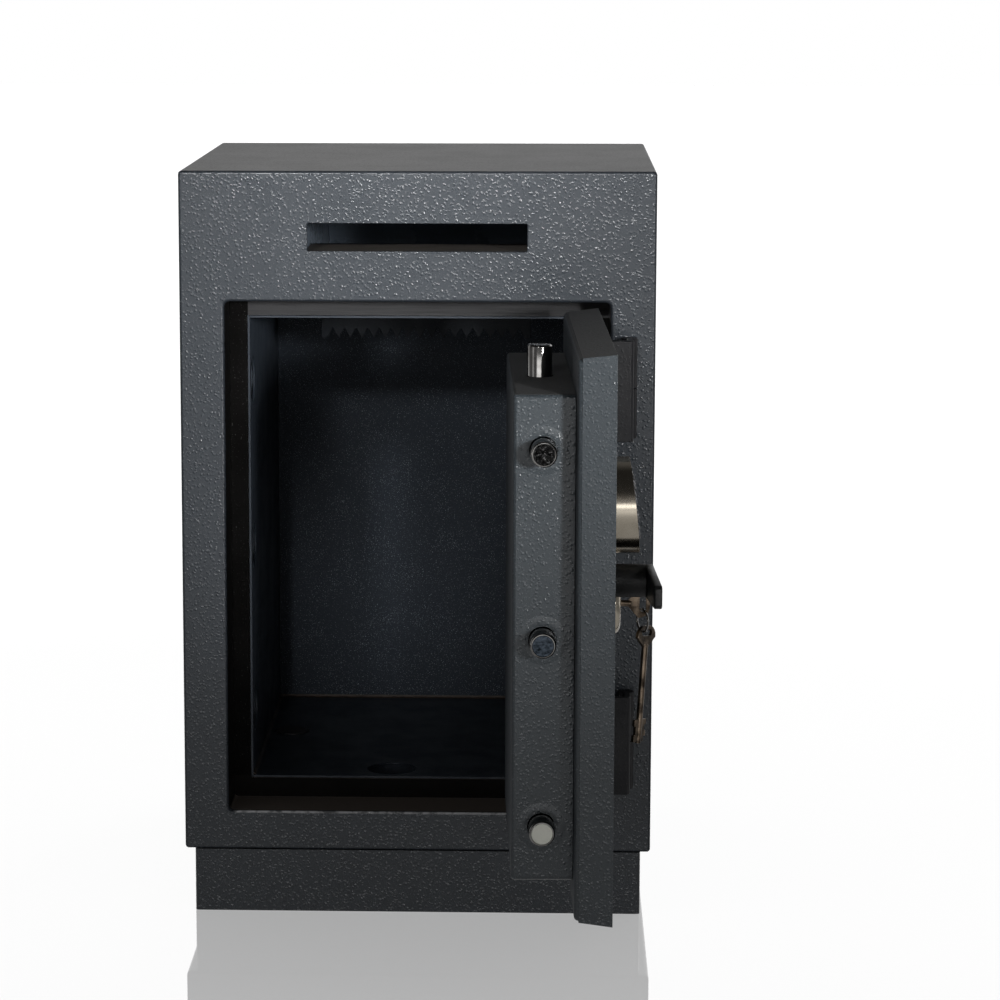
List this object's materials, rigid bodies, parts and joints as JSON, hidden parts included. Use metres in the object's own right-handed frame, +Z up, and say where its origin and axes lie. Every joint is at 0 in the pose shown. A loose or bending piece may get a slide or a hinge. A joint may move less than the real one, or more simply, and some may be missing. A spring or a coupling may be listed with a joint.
{
  "type": "drop safe",
  "caption": "Free-standing drop safe with a front deposit slot above an open hinged door; toothed chute inside, throwing bolts, lever handle, round keypad and key lock.",
  "frame": {"origin": "centre of the plinth's underside, on the floor", "axes": "+Z up; +Y from the front to the back, into the safe; +X to the right of someone facing the door, which is the hinge side"},
  "size_m": [0.35, 0.6424, 0.558],
  "materials": {
    "hammertone": "charcoal-blue hammertone powder coat",
    "inside_coat": "smooth dark blue-grey coat",
    "jamb_paint": "thin satin grey coat",
    "chute_paint": "glossy dark blue coat",
    "black_steel": "satin black coat",
    "black_handle": "satin black coat",
    "chrome": "bright plated steel",
    "nickel": "satin nickel",
    "zinc_steel": "zinc-plated steel",
    "brass": "machined brass",
    "bronze_key": "worn bronze-coloured plating",
    "cast_fill": "grey cast fire-resistant fill",
    "circuit_green": "circuit board",
    "key_grey": "silver-grey keys",
    "black_plastic": "matt black plastic"
  },
  "bodies": {
    "cabinet": {"front_frame": "hammertone", "outer_shell": "hammertone", "back_panel": "hammertone", "plinth": "hammertone", "door_jamb": "jamb_paint", "liner_left": "inside_coat", "liner_right": "inside_coat", "liner_back": "hammertone", "liner_floor": "inside_coat", "liner_ceiling": "inside_coat", "cast_fill": "cast_fill", "strike_channel": "inside_coat", "strike_cup_floor": "inside_coat", "strike_cup_head": "inside_coat", "anchor_cap_left": "black_plastic", "anchor_cap_right": "black_plastic", "chute_hood": "chute_paint", "chute_floor": "chute_paint", "chute_deflector": "chute_paint", "hinge_knuckle_upper": "black_steel", "hinge_pin_upper": "zinc_steel", "hinge_knuckle_lower": "black_steel", "hinge_pin_lower": "zinc_steel"},
    "door": {"door_slab": "hammertone", "bolt_housing": "hammertone", "hinge_leaf_upper": "black_steel", "hinge_leaf_lower": "black_steel", "boltwork_base": "zinc_steel", "keypad_housing": "nickel", "keypad_board": "circuit_green", "solenoid_body": "zinc_steel", "lock_escutcheon": "chrome", "lock_case": "zinc_steel"},
    "handle": {"handle_lever": "black_handle", "handle_spindle": "zinc_steel"},
    "boltwork": {"bolt_plate": "zinc_steel", "side_bolt_top": "chrome", "side_bolt_middle": "chrome", "side_bolt_bottom": "chrome"},
    "top_rod": {"rod_bolt_top": "chrome"},
    "bottom_rod": {"rod_bolt_bottom": "chrome"},
    "lock_barrel": {"lock_plug": "brass", "lock_key": "bronze_key"},
    "lock_bolt": {"lock_bolt": "brass"},
    "plunger": {"solenoid_plunger": "chrome"},
    "ring": {"key_ring": "zinc_steel"},
    "spare": {"spare_key": "bronze_key"},
    "key_01": {"key_01": "key_grey"},
    "key_02": {"key_02": "key_grey"},
    "key_03": {"key_03": "key_grey"},
    "key_04": {"key_04": "key_grey"},
    "key_05": {"key_05": "key_grey"},
    "key_06": {"key_06": "key_grey"},
    "key_07": {"key_07": "key_grey"},
    "key_08": {"key_08": "key_grey"},
    "key_09": {"key_09": "key_grey"},
    "key_10": {"key_10": "key_grey"},
    "key_11": {"key_11": "key_grey"},
    "key_12": {"key_12": "key_grey"}
  },
  "joints": [
    {"name": "door_hinge", "type": "hinge", "parent": "cabinet", "child": "door", "pos_m": [0.1555, -0.1763, 0.2685], "axis": [0, 0, 1], "range_deg": [-91.7, 28.3]},
    {"name": "bolt_slide", "type": "slide", "parent": "door", "child": "boltwork", "axis": [-0.0297, 0.9996, 0], "range_m": [0, 0.02]},
    {"name": "handle_turn", "type": "hinge", "parent": "door", "child": "handle", "pos_m": [0.13728, -0.35442, 0.2907], "axis": [0.9996, 0.0297, 0], "range_deg": [0, 90]},
    {"name": "top_rod_slide", "type": "slide", "parent": "door", "child": "top_rod", "axis": [0, 0, -1], "range_m": [0, 0.022]},
    {"name": "bottom_rod_slide", "type": "slide", "parent": "door", "child": "bottom_rod", "axis": [0, 0, 1], "range_m": [0, 0.022]},
    {"name": "key_turn", "type": "hinge", "parent": "door", "child": "lock_barrel", "pos_m": [0.13567, -0.30044, 0.2643], "axis": [-0.9996, -0.0297, 0], "range_deg": [-90, 0]},
    {"name": "lock_bolt_slide", "type": "slide", "parent": "door", "child": "lock_bolt", "axis": [0, 0, 1], "range_m": [0, 0.012]},
    {"name": "plunger_slide", "type": "slide", "parent": "door", "child": "plunger", "axis": [0, 0, 1], "range_m": [-0.012, 0], "stiffness_N_per_m": 60, "springref_m": 0.008},
    {"name": "ring_swing", "type": "hinge", "parent": "lock_barrel", "child": "ring", "pos_m": [0.16366, -0.29961, 0.2598], "axis": [-0.0297, 0.9996, 0], "range_deg": [-60, 4]},
    {"name": "spare_swing", "type": "hinge", "parent": "ring", "child": "spare", "pos_m": [0.16366, -0.29961, 0.2438], "axis": [-0.0297, 0.9996, 0], "range_deg": [-35, 3]},
    {"name": "key_01_press", "type": "slide", "parent": "door", "child": "key_01", "axis": [-0.9938, -0.0295, -0.1068], "range_m": [0, 0.0012], "stiffness_N_per_m": 500, "springref_m": -0.001},
    {"name": "key_02_press", "type": "slide", "parent": "door", "child": "key_02", "axis": [-0.9938, -0.0295, -0.1068], "range_m": [0, 0.0012], "stiffness_N_per_m": 500, "springref_m": -0.001},
    {"name": "key_03_press", "type": "slide", "parent": "door", "child": "key_03", "axis": [-0.9938, -0.0295, -0.1068], "range_m": [0, 0.0012], "stiffness_N_per_m": 500, "springref_m": -0.001},
    {"name": "key_04_press", "type": "slide", "parent": "door", "child": "key_04", "axis": [-0.9938, -0.0295, -0.1068], "range_m": [0, 0.0012], "stiffness_N_per_m": 500, "springref_m": -0.001},
    {"name": "key_05_press", "type": "slide", "parent": "door", "child": "key_05", "axis": [-0.9938, -0.0295, -0.1068], "range_m": [0, 0.0012], "stiffness_N_per_m": 500, "springref_m": -0.001},
    {"name": "key_06_press", "type": "slide", "parent": "door", "child": "key_06", "axis": [-0.9938, -0.0295, -0.1068], "range_m": [0, 0.0012], "stiffness_N_per_m": 500, "springref_m": -0.001},
    {"name": "key_07_press", "type": "slide", "parent": "door", "child": "key_07", "axis": [-0.9938, -0.0295, -0.1068], "range_m": [0, 0.0012], "stiffness_N_per_m": 500, "springref_m": -0.001},
    {"name": "key_08_press", "type": "slide", "parent": "door", "child": "key_08", "axis": [-0.9938, -0.0295, -0.1068], "range_m": [0, 0.0012], "stiffness_N_per_m": 500, "springref_m": -0.001},
    {"name": "key_09_press", "type": "slide", "parent": "door", "child": "key_09", "axis": [-0.9938, -0.0295, -0.1068], "range_m": [0, 0.0012], "stiffness_N_per_m": 500, "springref_m": -0.001},
    {"name": "key_10_press", "type": "slide", "parent": "door", "child": "key_10", "axis": [-0.9938, -0.0295, -0.1068], "range_m": [0, 0.0012], "stiffness_N_per_m": 500, "springref_m": -0.001},
    {"name": "key_11_press", "type": "slide", "parent": "door", "child": "key_11", "axis": [-0.9938, -0.0295, -0.1068], "range_m": [0, 0.0012], "stiffness_N_per_m": 500, "springref_m": -0.001},
    {"name": "key_12_press", "type": "slide", "parent": "door", "child": "key_12", "axis": [-0.9938, -0.0295, -0.1068], "range_m": [0, 0.0012], "stiffness_N_per_m": 500, "springref_m": -0.001}
  ],
  "couplings": [
    {"joint": "handle_turn", "follows": "bolt_slide", "rad_per_m": 78.54},
    {"joint": "top_rod_slide", "follows": "bolt_slide", "ratio": 1.1},
    {"joint": "bottom_rod_slide", "follows": "bolt_slide", "ratio": 1.1},
    {"joint": "lock_bolt_slide", "follows": "key_turn", "m_per_rad": -0.0076394}
  ]
}
